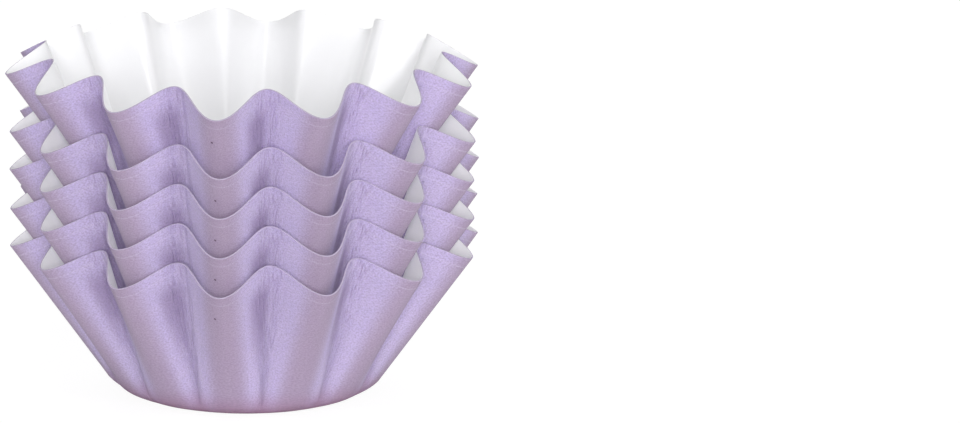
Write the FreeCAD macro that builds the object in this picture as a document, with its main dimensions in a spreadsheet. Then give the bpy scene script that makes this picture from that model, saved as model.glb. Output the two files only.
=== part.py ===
import FreeCAD, Part
import math
import os

from FreeCAD import Vector

# A stack of five nested cupcake liners. Each liner is one round sheet of paper, pressed
# into a flat base, a rounded corner and a flaring wall of flutes. Millimetres, +Z up,
# origin at the centre of the stack's base, with the side that is looked at towards -Y.

os.makedirs("parts", exist_ok=True)
doc = FreeCAD.newDocument("liner_stack")

# Driving dimensions. A ridge is a fold that stands outwards, a valley one that stands
# inwards. The cut edge of the round sheet comes to rest lower on the ridges, which lean
# out more, than in the valleys.
SIZES = {
    "paper_thickness": 0.28,
    "base_flat_radius": 23.2,
    "corner_radius": 6.0,
    "flute_count": 14,
    "flute_turn": 6.63,
    "ridge_rim_radius": 48.5,
    "ridge_rim_height": 30.4,
    "valley_rim_radius": 40.7,
    "valley_rim_height": 35.1,
    "ridge_fold_radius": 2.2,
    "valley_fold_radius": 2.2,
    "nest_step": 8.0,
    "top_step": 11.7,
    "top_shift": -0.7,
    "seat_clearance": 0.3,
}

# How finely the round stretches are folded: flat panels to each of them.
ROOT_PANELS = 4
SHOULDER_PANELS = 3
VALLEY_PANELS = 4
CORNER_ROWS = 4

# Where one liner comes close to the next, the two are this many lines apart at most.
PLACES_APART = 8

sheet = doc.addObject("Spreadsheet::Sheet", "sizes")
for row, (alias, value) in enumerate(SIZES.items(), start=1):
    sheet.set(f"A{row}", alias)
    sheet.set(f"B{row}", str(value))
    sheet.setAlias(f"B{row}", alias)
doc.recompute()


def size(alias):
    """Value of a named cell of the sheet."""
    return float(sheet.get(alias))


paper = size("paper_thickness")
flat_radius = size("base_flat_radius")
corner_radius = size("corner_radius")
flutes = int(size("flute_count"))
ridge_rim = Vector(size("ridge_rim_radius"), 0, size("ridge_rim_height"))
valley_rim = Vector(size("valley_rim_radius"), 0, size("valley_rim_height"))

# The corner turns up until it runs straight on into the ridges. That circle is the root
# of the flutes.
to_rim = ridge_rim - Vector(flat_radius, 0, corner_radius)
corner_sweep = math.atan2(to_rim.z, to_rim.x) + math.asin(corner_radius / to_rim.Length)
root_radius = flat_radius + corner_radius * math.sin(corner_sweep)
root_height = corner_radius * (1 - math.cos(corner_sweep))

# The inner side of the paper: the same corner, one paper thickness further in.
inner_corner = corner_radius - paper
inner_sweep = math.acos((corner_radius - root_height) / inner_corner)
wall_lean = math.atan2(
    (ridge_rim.x + valley_rim.x) / 2 - root_radius,
    (ridge_rim.z + valley_rim.z) / 2 - root_height,
)
level_paper = paper / math.cos(wall_lean)

# The cut edge lies on a cone through both rims.
rim_fall = (valley_rim.z - ridge_rim.z) / (ridge_rim.x - valley_rim.x)
rim_apex = ridge_rim.z + ridge_rim.x * rim_fall


def polar(radius, angle, height=0.0):
    """Point at a radius and an angle about the stack's axis."""
    return Vector(radius * math.cos(angle), radius * math.sin(angle), height)


def fold_angle(half_flutes, twist):
    """Angle of a fold: ridges at even counts of half flutes, valleys at odd ones.

    The flutes lie evenly at the front. Towards the back they run round by up to the
    twist, because pressed paper never comes out quite even.
    """
    even = math.radians(size("flute_turn")) + half_flutes * math.pi / flutes
    backness = (1 + math.sin(even)) / 2
    return even + twist * backness ** 2 * (3 - 2 * backness)


def arc_points(centre, start, end, panels):
    """Points along the shorter arc about a centre, its two ends included."""
    first = start - centre
    turn = first.getAngle(end - centre)
    if first.cross(end - centre).z < 0:
        turn = -turn
    points = []
    for step in range(panels + 1):
        spin = FreeCAD.Rotation(Vector(0, 0, 1), math.degrees(turn * step / panels))
        points.append(centre + spin.multVec(first))
    return points


def flank(ridge_centre, ridge_fold, valley_centre, valley_fold):
    """Ends of the straight flank that touches a ridge fold and a valley fold, in plan."""
    across = valley_centre - ridge_centre
    along = Vector(across)
    along.normalize()
    aside = Vector(-along.y, along.x, 0)
    near = (ridge_fold + valley_fold) / across.Length
    side = math.sqrt(1 - near ** 2)
    outward = max(along * near + aside * side, along * near - aside * side, key=ridge_centre.dot)
    return ridge_centre + outward * ridge_fold, valley_centre - outward * valley_fold


def on_rim(point):
    """The point of the cut edge that lies over a point of the plan."""
    return Vector(point.x, point.y, rim_apex - rim_fall * math.hypot(point.x, point.y))


def rulings(twist, inset, root):
    """Straight lines up the paper, in order round the wall, as pairs of root and rim point.

    Paper bends one way at a time. All lines of a valley, its flanks and the shoulders of
    the ridges beside it start in one pinch point at the root, and the lines up the middle
    of a ridge start along the root between two pinch points.
    """
    ridge_fold = size("ridge_fold_radius") - inset
    valley_fold = size("valley_fold_radius") + inset
    lines = []
    for flute in range(flutes):
        before, middle, after = (fold_angle(2 * flute + side, twist) for side in (-1, 0, 1))
        ridge_centre = polar(ridge_rim.x - size("ridge_fold_radius"), middle)
        valley_reach = valley_rim.x + size("valley_fold_radius")
        left_centre = polar(valley_reach, before)
        right_centre = polar(valley_reach, after)
        left_top, left_foot = flank(ridge_centre, ridge_fold, left_centre, valley_fold)
        right_top, right_foot = flank(ridge_centre, ridge_fold, right_centre, valley_fold)
        crest = [ridge_centre + polar(ridge_fold, angle) for angle in (before, after)]

        pinch = polar(root, before, root_height)
        valley_middle = left_centre - polar(valley_fold, before)
        half = arc_points(left_centre, valley_middle, left_foot, VALLEY_PANELS)
        shoulder = arc_points(ridge_centre, left_top, crest[0], SHOULDER_PANELS)
        lines += [(pinch, on_rim(point)) for point in half + shoulder]

        for step, point in enumerate(arc_points(ridge_centre, *crest, ROOT_PANELS)[1:-1], start=1):
            angle = before + (after - before) * step / ROOT_PANELS
            lines.append((polar(root, angle, root_height), on_rim(point)))

        pinch = polar(root, after, root_height)
        valley_middle = right_centre - polar(valley_fold, after)
        shoulder = arc_points(ridge_centre, crest[1], right_top, SHOULDER_PANELS)
        half = arc_points(right_centre, right_foot, valley_middle, VALLEY_PANELS)
        lines += [(pinch, on_rim(point)) for point in shoulder + half[:-1]]
    return lines


def plan_section(lines, height):
    """Outline of the wall at one height, from the lines up the paper."""
    points = []
    for root, rim in lines:
        points.append(root + (rim - root) * ((height - root.z) / (rim.z - root.z)))
    return points


def plan_gap(points, outline):
    """Least distance in plan from one closed line of points to another, told apart by place."""
    count = len(points)
    least = math.inf
    for place, point in enumerate(points):
        for near in range(place - PLACES_APART, place + PLACES_APART):
            start, end = outline[near % count], outline[(near + 1) % count]
            run_x, run_y = end.x - start.x, end.y - start.y
            to_x, to_y = point.x - start.x, point.y - start.y
            share = (to_x * run_x + to_y * run_y) / (run_x ** 2 + run_y ** 2)
            share = max(0.0, min(1.0, share))
            least = min(least, math.hypot(to_x - run_x * share, to_y - run_y * share))
    return least


def seated_twist(upper_twist, step, shift, sense):
    """Twist of a liner whose back flanks just carry the liner above it."""
    upper = rulings(upper_twist, 0, root_radius)
    middle_rim = (ridge_rim.z + valley_rim.z) / 2
    heights = [middle_rim * share for share in (0.6, 0.8, 1.0)]
    wanted = size("seat_clearance") / math.cos(wall_lean)

    def room(twist):
        lower = rulings(twist, level_paper, root_radius - level_paper)
        gaps = []
        for height in heights:
            outline = plan_section(lower, height)
            above = [point + Vector(shift, 0, 0) for point in plan_section(upper, height - step)]
            gaps += [plan_gap(above, outline), plan_gap(outline, above)]
        return min(gaps)

    loose, tight = upper_twist, upper_twist + sense * math.pi / flutes / 2
    while abs(tight - loose) > 2e-4:
        middle = (tight + loose) / 2
        if room(middle) > wanted:
            loose = middle
        else:
            tight = middle
    return loose


def ring_panels(lower, upper):
    """Flat three-cornered panels between two rings of points, where they don't pinch."""
    panels = []
    count = len(lower)
    for place in range(count):
        following = (place + 1) % count
        a, b = lower[place], lower[following]
        c, d = upper[following], upper[place]
        for corners in ((a, b, c), (a, c, d)):
            if all((p - q).Length > 1e-6 for p, q in zip(corners, corners[1:] + corners[:1])):
                panels.append(Part.Face(Part.makePolygon([*corners, corners[0]])))
    return panels


def liner_shape(twist):
    """One liner: the two sides of the paper and its cut edge, closed into a solid."""
    outer = rulings(twist, 0, root_radius)
    inner_root = flat_radius + inner_corner * math.sin(inner_sweep)
    inner = rulings(twist, level_paper, inner_root)
    faces = []
    for lines in (outer, inner):
        faces += ring_panels([root for root, rim in lines], [rim for root, rim in lines])
    faces += ring_panels([rim for root, rim in outer], [rim for root, rim in inner])

    for lines, radius, sweep in (
        (outer, corner_radius, corner_sweep),
        (inner, inner_corner, inner_sweep),
    ):
        ring = []
        for root, rim in lines:
            if not ring or (root - ring[-1]).Length > 1e-6:
                ring.append(root)
        if (ring[0] - ring[-1]).Length < 1e-6:
            ring.pop()
        rows = []
        for row in range(CORNER_ROWS + 1):
            turn = sweep * row / CORNER_ROWS
            reach = flat_radius + radius * math.sin(turn)
            height = corner_radius - radius * math.cos(turn)
            rows.append([polar(reach, math.atan2(p.y, p.x), height) for p in ring])
        rows[-1] = ring
        for lower, upper in zip(rows, rows[1:]):
            faces += ring_panels(lower, upper)
        faces.append(Part.Face(Part.makePolygon(rows[0] + rows[0][:1])))

    shell = Part.Shell(faces)
    shell.sewShape()
    solid = Part.Solid(shell)
    if solid.Volume < 0:
        solid.reverse()
    return solid


# From the top down, because each liner is folded to carry the one above it.
LINERS = ["top_liner", "fourth_liner", "third_liner", "second_liner", "bottom_liner"]
nodes = []
twist = 0.0
for place, label in enumerate(LINERS):
    if place > 0:
        step = size("top_step") if place == 1 else size("nest_step")
        shift = size("top_shift") if place == 1 else 0.0
        twist = seated_twist(twist, step, shift, 1 if place % 2 else -1)
    liner = doc.addObject("Part::Feature", label)
    liner.Label = label
    liner.Shape = liner_shape(twist)
    below = len(LINERS) - 1 - place
    if place == 0:
        liner.setExpression(".Placement.Base.x", "sizes.top_shift")
        liner.setExpression(".Placement.Base.z", f"sizes.nest_step * {below - 1} + sizes.top_step")
    else:
        liner.setExpression(".Placement.Base.z", f"sizes.nest_step * {below}")
    nodes.append(liner)
    print(f"{label}: back flutes turned by {math.degrees(twist):.2f} degrees")

doc.recompute()
for item in doc.Objects:
    if "Invalid" in item.State or "Error" in item.State:
        raise RuntimeError(f"{item.Label} failed: {item.State}")
for liner in nodes:
    shape = liner.Shape
    if shape.isNull() or not shape.isValid() or len(shape.Solids) != 1:
        raise RuntimeError(f"{liner.Label} is not one valid solid")
    box = shape.BoundBox
    print(f"{liner.Label}: {shape.Volume:.0f} mm3, z {box.ZMin:.2f} to {box.ZMax:.2f}")
    liner.Shape.exportStep(f"parts/{liner.Label}.step")
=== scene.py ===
import bpy
import bmesh
import math
from mathutils import Euler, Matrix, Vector


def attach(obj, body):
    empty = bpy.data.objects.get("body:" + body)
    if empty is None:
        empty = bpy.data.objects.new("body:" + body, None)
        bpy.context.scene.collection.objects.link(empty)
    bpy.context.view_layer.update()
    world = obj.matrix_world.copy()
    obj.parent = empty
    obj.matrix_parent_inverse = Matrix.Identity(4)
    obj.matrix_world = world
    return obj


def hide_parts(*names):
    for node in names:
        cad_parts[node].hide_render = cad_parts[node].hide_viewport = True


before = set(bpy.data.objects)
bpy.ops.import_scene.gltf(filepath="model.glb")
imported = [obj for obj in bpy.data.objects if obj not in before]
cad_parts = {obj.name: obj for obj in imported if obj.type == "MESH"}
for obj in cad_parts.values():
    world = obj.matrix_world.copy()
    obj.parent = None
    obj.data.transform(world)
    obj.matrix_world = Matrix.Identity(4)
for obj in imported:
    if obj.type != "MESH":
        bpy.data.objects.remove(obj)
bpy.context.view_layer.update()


# The liners: each one is a single round sheet of stiff paper, lilac outside and lined with
# white film inside. It is pressed between a punch and a die: the middle stays flat, the corner
# turns up and the rest gathers into even flutes. The edge is cut raw.

FLUTES = 14
FLUTE_TURN = math.radians(6.63)
PAPER = 0.00028
BASE_FLAT = 0.0232
CORNER_RADIUS = 0.006
RIDGE_RIM = Vector((0.0485, 0.0304))
VALLEY_RIM = Vector((0.0407, 0.0351))
CORNER_LENGTH = 0.0058
WALL_LENGTH = 0.0345
MM_PER_METRE = 1000

# The straight lines up the wall crowd together at the foot of each valley by the pinch, and
# the flutes already stand in and out by the root wave where the wall starts.
PINCH = 0.85
ROOT_WAVE = 0.0005

COLUMNS_PER_FLUTE = 28
CORNER_ROWS = 8
WALL_ROWS = 28


def turned(angle, twist):
    """Angle round the cup, with the flutes run round by up to the twist at the back."""
    backness = (1 + math.sin(angle)) / 2
    return angle + twist * backness ** 2 * (3 - 2 * backness)


def pressed(flat, twist):
    """Where a point of the flat sheet, at the base's edge or outside it, lies once pressed."""
    past_base = max(0.0, math.hypot(flat.x, flat.y) - BASE_FLAT)
    angle = math.atan2(flat.y, flat.x)
    phase = FLUTES * (angle - FLUTE_TURN)
    rim = VALLEY_RIM.lerp(RIDGE_RIM, (1 + math.cos(phase)) / 2)
    to_rim = rim - Vector((BASE_FLAT, CORNER_RADIUS))
    sweep = math.atan2(to_rim.y, to_rim.x) + math.asin(CORNER_RADIUS / to_rim.length)

    up_corner = min(1.0, past_base / CORNER_LENGTH)
    spot = turned(angle + PINCH * math.sin(phase) / FLUTES * up_corner, twist)
    reach = BASE_FLAT + CORNER_RADIUS * math.sin(sweep * up_corner)
    reach += ROOT_WAVE * math.cos(phase) * up_corner ** 2
    height = CORNER_RADIUS * (1 - math.cos(sweep * up_corner))
    root = Vector((reach * math.cos(spot), reach * math.sin(spot), height))

    up_wall = max(0.0, (past_base - CORNER_LENGTH) / WALL_LENGTH)
    spot = turned(angle, twist)
    edge = Vector((rim.x * math.cos(spot), rim.x * math.sin(spot), rim.y))
    return root.lerp(edge, up_wall)


def press_liner(name, base, shift, twist):
    """Presses one round sheet into a liner, in its place in the stack."""
    sheet = bmesh.new()
    bmesh.ops.create_circle(sheet, cap_ends=True, segments=FLUTES * COLUMNS_PER_FLUTE, radius=BASE_FLAT)
    reaches = [BASE_FLAT + CORNER_LENGTH * (row + 1) / CORNER_ROWS for row in range(CORNER_ROWS)]
    reaches += [reaches[-1] + WALL_LENGTH * (row + 1) / WALL_ROWS for row in range(WALL_ROWS)]
    edges = [edge for edge in sheet.edges if edge.is_boundary]
    reach = BASE_FLAT
    for farther in reaches:
        grown = bmesh.ops.extrude_edge_only(sheet, edges=edges)["geom"]
        rim = [item for item in grown if isinstance(item, bmesh.types.BMVert)]
        bmesh.ops.scale(sheet, vec=(farther / reach, farther / reach, 1), verts=rim)
        edges = [item for item in grown if isinstance(item, bmesh.types.BMEdge) and item.is_boundary]
        reach = farther
    for edge in edges:
        edge.smooth = False
    bmesh.ops.recalc_face_normals(sheet, faces=sheet.faces)
    sheet.faces.ensure_lookup_table()
    if sheet.faces[0].normal.z > 0:
        bmesh.ops.reverse_faces(sheet, faces=sheet.faces)

    flat_map = sheet.loops.layers.uv.new("flat_sheet")
    for face in sheet.faces:
        face.smooth = True
        for loop in face.loops:
            loop[flat_map].uv = loop.vert.co.xy * MM_PER_METRE
    place = Vector((shift, 0, base))
    for vert in sheet.verts:
        vert.co = pressed(vert.co, twist) + place

    mesh = bpy.data.meshes.new(name)
    sheet.to_mesh(mesh)
    sheet.free()
    piece = bpy.data.objects.new(name, mesh)
    bpy.context.scene.collection.objects.link(piece)
    wall = piece.modifiers.new("paper_thickness", "SOLIDIFY")
    wall.thickness = PAPER
    wall.offset = -1.0
    wall.use_even_offset = True
    wall.material_offset = 1
    wall.material_offset_rim = 2
    return piece


def srgb(code):
    """A hex colour as written in sRGB, turned to the linear values that Blender works in."""
    parts = [int(code[place:place + 2], 16) / 255 for place in (1, 3, 5)]
    linear = [c / 12.92 if c <= 0.04045 else ((c + 0.055) / 1.055) ** 2.4 for c in parts]
    return (*linear, 1.0)


def add(tree, kind, inputs=None, **settings):
    """Adds a node, with its settings, its values and the links into it."""
    node = tree.nodes.new(kind)
    for name, value in settings.items():
        setattr(node, name, value)
    for name, value in (inputs or {}).items():
        if isinstance(value, bpy.types.NodeSocket):
            tree.links.new(value, node.inputs[name])
        else:
            node.inputs[name].default_value = value
    return node


def new_material(name):
    """An empty node material, with its node tree."""
    material = bpy.data.materials.new(name)
    material.use_nodes = True
    material.node_tree.nodes.clear()
    return material, material.node_tree


# The outside: uncoated paper, dyed lilac, so it is matt, with a fine grain. The press gathers
# it in fine wrinkles along the valleys and marks a thin line just under the cut edge. Painted
# shade darkens the wrinkles and a patch beside each valley; the greyer ridges and redder corner
# are partly the paper's own tone and partly painted shade. One dark fibre shows on each sheet,
# as in the photograph.

LILAC = "#c9bcde"
LILAC_CLOUD = "#bdb3da"
# The ridge and corner tones are partly the paper's own tone and partly painted shade. The fold dark is
# painted shade, in a patch beside each valley and in the wrinkles.
RIDGE_TONE_AND_SHADE = "#a996a9"
CORNER_TONE_AND_SHADE = "#a07b92"
FOLD_PAINTED_SHADE = "#87759a"
PRESS_LINE_PALE = "#d8cfe4"
GRAIN_DARK = "#83758a"
FIBRE_DARK = "#6d586c"

GRAIN_MM = 0.36
GRAIN_DEPTH = 0.0001
CLOUD_MM = 3.0
WRINKLE_MM = 0.55
WRINKLE_LENGTH_MM = 3.6
WRINKLE_DEPTH = 0.0006

# Places on the flat sheet, in millimetres from its middle.
CORNER_MM = 24.0
WRINKLE_START_MM = 25.0
LOW_WALL_MM = 34.0
MIDDLE_WALL_MM = 45.0
HIGH_WALL_MM = 54.0
UNDER_RIM_MM = 55.5
PRESS_LINE_MM = 61.2
RIM_MM = 61.5
FIBRE_PLACE_MM = Vector((-7.6, -56.4, 0.0))

# Wave runs from 1 on a ridge to -1 in a valley. The shade patch wave is the same, moved to the
# side of the valley where the patch of painted shade lies.
SHADE_PATCH_SIDE = 0.75

paper, tree = new_material("uncoated_lilac_paper")
flat = add(tree, "ShaderNodeUVMap", uv_map="flat_sheet").outputs["UV"]
grain = add(tree, "ShaderNodeTexNoise", {"Vector": flat, "Scale": 1 / GRAIN_MM,
            "Detail": 2.0}).outputs["Fac"]
cloud = add(tree, "ShaderNodeTexNoise", {"Vector": flat, "Scale": 1 / CLOUD_MM,
            "Detail": 3.0}).outputs["Fac"]
place = add(tree, "ShaderNodeSeparateXYZ", {"Vector": flat}).outputs
around = add(tree, "ShaderNodeMath", {0: place["Y"], 1: place["X"]}, operation="ARCTAN2").outputs[0]
outwards = add(tree, "ShaderNodeVectorMath", {0: flat}, operation="LENGTH").outputs["Value"]
phase = add(tree, "ShaderNodeMath", {0: around, 1: FLUTES, 2: -FLUTES * FLUTE_TURN},
            operation="MULTIPLY_ADD").outputs[0]
wave = add(tree, "ShaderNodeMath", {0: phase}, operation="COSINE").outputs[0]
# Where the painted shade patch beside each valley lies.
shade_patch_phase = add(tree, "ShaderNodeMath", {0: phase, 1: SHADE_PATCH_SIDE}, operation="ADD").outputs[0]
shade_patch_wave = add(tree, "ShaderNodeMath", {0: shade_patch_phase}, operation="COSINE").outputs[0]
off_line = add(tree, "ShaderNodeMath", {0: outwards, 1: PRESS_LINE_MM}, operation="SUBTRACT").outputs[0]
off_line = add(tree, "ShaderNodeMath", {0: off_line}, operation="ABSOLUTE").outputs[0]
off_fibre = add(tree, "ShaderNodeVectorMath", {0: flat, 1: FIBRE_PLACE_MM},
                operation="DISTANCE").outputs["Value"]

# The wrinkles are noise stretched up the wall. They fade away from the valleys.
arc = add(tree, "ShaderNodeMath", {0: around, 1: MIDDLE_WALL_MM / WRINKLE_MM},
          operation="MULTIPLY").outputs[0]
run = add(tree, "ShaderNodeMath", {0: outwards, 1: 1 / WRINKLE_LENGTH_MM},
          operation="MULTIPLY").outputs[0]
along = add(tree, "ShaderNodeCombineXYZ", {"X": arc, "Y": run}).outputs["Vector"]
wrinkle = add(tree, "ShaderNodeTexNoise", {"Vector": along, "Scale": 1.0, "Detail": 2.0, "Distortion": 0.9})
wrinkle = wrinkle.outputs["Fac"]
for value, start, end in ((wave, 0.0, -0.85), (outwards, WRINKLE_START_MM, LOW_WALL_MM)):
    fade = add(tree, "ShaderNodeMapRange", {"Value": value, "From Min": start, "From Max": end},
               interpolation_type="SMOOTHSTEP").outputs["Result"]
    wrinkle = add(tree, "ShaderNodeMath", {0: wrinkle, 1: fade}, operation="MULTIPLY").outputs[0]

# Each mark, painted shade among them, lies over those before it. It fades in smoothly along each
# of its values, from the first number to the second, up to the share that stands last.
MARKS_AND_PAINTED_SHADE = [
    (LILAC_CLOUD, [(cloud, 0.3, 0.7, 0.3)]),
    # Greyer, darker ridges: partly the paper's own tone, partly painted shade.
    (RIDGE_TONE_AND_SHADE, [(wave, 0.1, 1.0, 0.75)]),
    # Redder, darker corner: partly the paper's own tone, partly painted shade under the cup.
    (CORNER_TONE_AND_SHADE, [(outwards, LOW_WALL_MM, CORNER_MM, 1.0)]),
    # Painted shade: a dark patch beside each valley, from low on the wall up to just under the rim.
    (FOLD_PAINTED_SHADE, [(shade_patch_wave, -0.55, -1.0, 0.6), (outwards, LOW_WALL_MM, HIGH_WALL_MM, 1.0),
                 (outwards, RIM_MM, UNDER_RIM_MM, 1.0)]),
    (PRESS_LINE_PALE, [(off_line, 0.16, 0.04, 0.35)]),
    (GRAIN_DARK, [(grain, 0.3, 0.74, 0.42)]),
    (FIBRE_DARK, [(off_fibre, 0.36, 0.18, 1.0)]),
    # Painted shade in the wrinkles along the valleys, on top of their bump.
    (FOLD_PAINTED_SHADE, [(wrinkle, 0.45, 0.62, 0.26)]),
]
colour = srgb(LILAC)
for tint, fades in MARKS_AND_PAINTED_SHADE:
    share = 1.0
    for value, start, end, strength in fades:
        fade = add(tree, "ShaderNodeMapRange", {"Value": value, "From Min": start, "From Max": end,
                   "To Max": strength}, interpolation_type="SMOOTHSTEP").outputs["Result"]
        share = add(tree, "ShaderNodeMath", {0: share, 1: fade}, operation="MULTIPLY").outputs[0]
    mixed = add(tree, "ShaderNodeMix", {"Factor": share, 6: colour, 7: srgb(tint)}, data_type="RGBA")
    colour = mixed.outputs[2]

# Light passes part of the way through a sheet as thin as this, paper and film alike.
THIN_SHEET = {"Subsurface Weight": 0.8, "Subsurface Radius": (1, 1, 1), "Subsurface Scale": PAPER * 2}

finish = add(tree, "ShaderNodeBsdfPrincipled", {"Base Color": colour, "Roughness": 0.85,
             "Specular IOR Level": 0.2, **THIN_SHEET})
bump = add(tree, "ShaderNodeBump", {"Height": wrinkle, "Strength": 1.0, "Distance": WRINKLE_DEPTH})
bump = add(tree, "ShaderNodeBump", {"Height": grain, "Normal": bump.outputs[0], "Strength": 0.3,
           "Distance": GRAIN_DEPTH})
tree.links.new(bump.outputs[0], finish.inputs["Normal"])
add(tree, "ShaderNodeOutputMaterial", {"Surface": finish.outputs[0]})

# The lining: a thin white film on the paper, smooth and glossy, so each fold catches the light.
# Its faint glow stands for the light that thin sheets pass on to one another, and its colour
# is written darker to make up for that.

FILM_WHITE = "#d4d4d6"
FILM_GLOW = 0.2
RIPPLE_MM = 3.5
RIPPLE_DEPTH = 0.0002

lining, tree = new_material("glossy_white_film_lining")
flat = add(tree, "ShaderNodeUVMap", uv_map="flat_sheet").outputs["UV"]
ripple = add(tree, "ShaderNodeTexNoise", {"Vector": flat, "Scale": 1 / RIPPLE_MM, "Detail": 2.0})
bump = add(tree, "ShaderNodeBump", {"Height": ripple.outputs["Fac"], "Strength": 0.3,
           "Distance": RIPPLE_DEPTH})
film = add(tree, "ShaderNodeBsdfPrincipled", {"Base Color": srgb(FILM_WHITE), "Roughness": 0.3,
           "Emission Color": (1, 1, 1, 1), "Emission Strength": FILM_GLOW, **THIN_SHEET})
tree.links.new(bump.outputs[0], film.inputs["Normal"])
add(tree, "ShaderNodeOutputMaterial", {"Surface": film.outputs[0]})

# The cut edge: the raw core of the paper, where fibres show, as matt as the outside. It shows
# as a thin pale line along each rim.

EDGE_DARK = "#b3a7c0"
EDGE_PALE = "#c8bed3"
EDGE_FIBRE_MM = 0.3

cut_edge, tree = new_material("raw_cut_paper_edge")
flat = add(tree, "ShaderNodeUVMap", uv_map="flat_sheet").outputs["UV"]
fibre = add(tree, "ShaderNodeTexNoise", {"Vector": flat, "Scale": 1 / EDGE_FIBRE_MM, "Detail": 2.0})
core = add(tree, "ShaderNodeMix", {"Factor": fibre.outputs["Fac"], 6: srgb(EDGE_DARK), 7: srgb(EDGE_PALE)},
           data_type="RGBA").outputs[2]
core = add(tree, "ShaderNodeBsdfPrincipled", {"Base Color": core, "Roughness": 0.9})
add(tree, "ShaderNodeOutputMaterial", {"Surface": core.outputs[0]})

# The stack: five liners stand in one another by the grip of their flutes. All but the top one
# turn a little at the back, where their flanks catch. The top one sits higher and a little to
# the left.

NEST_STEP = 0.008
TOP_STEP = 0.0117
TOP_SHIFT = -0.0007
SMALL_TWIST = math.radians(2.35)
LARGE_TWIST = math.radians(4.77)
STACK = [
    ("bottom_liner", 0.0, 0.0, SMALL_TWIST),
    ("second_liner", NEST_STEP, 0.0, LARGE_TWIST),
    ("third_liner", 2 * NEST_STEP, 0.0, SMALL_TWIST),
    ("fourth_liner", 3 * NEST_STEP, 0.0, LARGE_TWIST),
    ("top_liner", 3 * NEST_STEP + TOP_STEP, TOP_SHIFT, 0.0),
]
for node, base, shift, twist in STACK:
    piece = press_liner(f"{node}_paper", base, shift, twist)
    for material in (paper, lining, cut_edge):
        piece.data.materials.append(material)
    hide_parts(node)
    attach(piece, "root")


# The floor: a plain white table top. It is seen as plain white, like the photograph's
# background, and keeps a light shadow under the stack. Its glow is a little above white to
# make up for the share that is left to the shadow.

FLOOR_SIZE = 12.0
FLOOR_WHITE = "#f6f6f6"
FLOOR_GLOW = 1.09
SHADOW_SHARE = 0.15

sheet = bmesh.new()
bmesh.ops.create_grid(sheet, x_segments=1, y_segments=1, size=FLOOR_SIZE / 2)
mesh = bpy.data.meshes.new("table_top")
sheet.to_mesh(mesh)
sheet.free()
floor = bpy.data.objects.new("table_top", mesh)
bpy.context.scene.collection.objects.link(floor)
white, tree = new_material("white_table_top")
board = add(tree, "ShaderNodeBsdfDiffuse", {"Color": srgb(FLOOR_WHITE)})
glow = add(tree, "ShaderNodeEmission", {"Color": (1, 1, 1, 1), "Strength": FLOOR_GLOW})
path = add(tree, "ShaderNodeLightPath").outputs
seen = path["Is Camera Ray"]
for ray in ("Is Glossy Ray", "Is Transmission Ray"):
    seen = add(tree, "ShaderNodeMath", {0: seen, 1: path[ray]}, operation="MAXIMUM").outputs[0]
share = add(tree, "ShaderNodeMath", {0: seen, 1: 1 - SHADOW_SHARE}, operation="MULTIPLY").outputs[0]
mixed = add(tree, "ShaderNodeMixShader", {0: share, 1: board.outputs[0], 2: glow.outputs[0]})
add(tree, "ShaderNodeOutputMaterial", {"Surface": mixed.outputs[0]})
floor.data.materials.append(white)


# The light: five wide soft lights and a dim room. They stand by the camera, on both sides,
# behind and high in front, so that the flanks are lit, the narrow gaps too, and the film
# shines.

ROOM_LEVEL = 0.16

world = bpy.data.worlds.new("studio")
bpy.context.scene.world = world
world.use_nodes = True
tree = world.node_tree
tree.nodes.clear()
path = add(tree, "ShaderNodeLightPath").outputs
seen = add(tree, "ShaderNodeMath", {0: path["Is Camera Ray"], 1: path["Is Transmission Ray"]},
           operation="MAXIMUM").outputs[0]
level = add(tree, "ShaderNodeMapRange", {"Value": seen, "To Min": ROOM_LEVEL, "To Max": 1.0})
room = add(tree, "ShaderNodeBackground", {"Color": (1, 1, 1, 1), "Strength": level.outputs["Result"]})
add(tree, "ShaderNodeOutputWorld", {"Surface": room.outputs[0]})


def soft_light(name, azimuth, elevation, spread, level):
    """A wide light from a direction, in degrees from the camera, that lights white to a level."""
    lamp = bpy.data.lights.new(name, "SUN")
    lamp.energy = math.pi * level
    lamp.angle = math.radians(spread)
    light = bpy.data.objects.new(name, lamp)
    bpy.context.scene.collection.objects.link(light)
    side = math.radians(azimuth)
    up = math.radians(elevation)
    towards = Vector((math.sin(side) * math.cos(up), -math.cos(side) * math.cos(up), math.sin(up)))
    light.rotation_mode = "QUATERNION"
    light.rotation_quaternion = (-towards).to_track_quat("-Z", "Y")


soft_light("camera_light", azimuth=0, elevation=12, spread=22, level=0.69)
soft_light("left_light", azimuth=-55, elevation=20, spread=45, level=0.06)
soft_light("right_light", azimuth=50, elevation=20, spread=45, level=0.22)
soft_light("back_light", azimuth=180, elevation=20, spread=60, level=0.55)
soft_light("film_light", azimuth=0, elevation=63, spread=16, level=0.13)


# The camera: at the photograph's angle, a little above the rim, with a long lens. It looks at
# the middle of the photograph, so the stack stands to the left.

AIM = Vector((0, 0, 0.045))
ELEVATION = math.radians(13.35)
DISTANCE = 1.0
SENSOR_WIDTH = 36.0
FOCAL_PIXELS = 4870
IMAGE_WIDTH = 960
AIM_LEFT_PIXELS = 233.7
AIM_UP_PIXELS = 41.5
ROLL = math.radians(0.25)

lens = bpy.data.cameras.new("camera")
lens.sensor_width = SENSOR_WIDTH
lens.lens = FOCAL_PIXELS / IMAGE_WIDTH * SENSOR_WIDTH
camera = bpy.data.objects.new("camera", lens)
bpy.context.scene.collection.objects.link(camera)
bpy.context.scene.camera = camera
forward = Vector((0, math.cos(ELEVATION), -math.sin(ELEVATION)))
camera.location = AIM - forward * DISTANCE
pan = Euler((-math.atan(AIM_UP_PIXELS / FOCAL_PIXELS), -math.atan(AIM_LEFT_PIXELS / FOCAL_PIXELS), ROLL))
camera.rotation_mode = "QUATERNION"
camera.rotation_quaternion = forward.to_track_quat("-Z", "Y") @ pan.to_quaternion()

bpy.context.scene.view_settings.view_transform = "Standard"
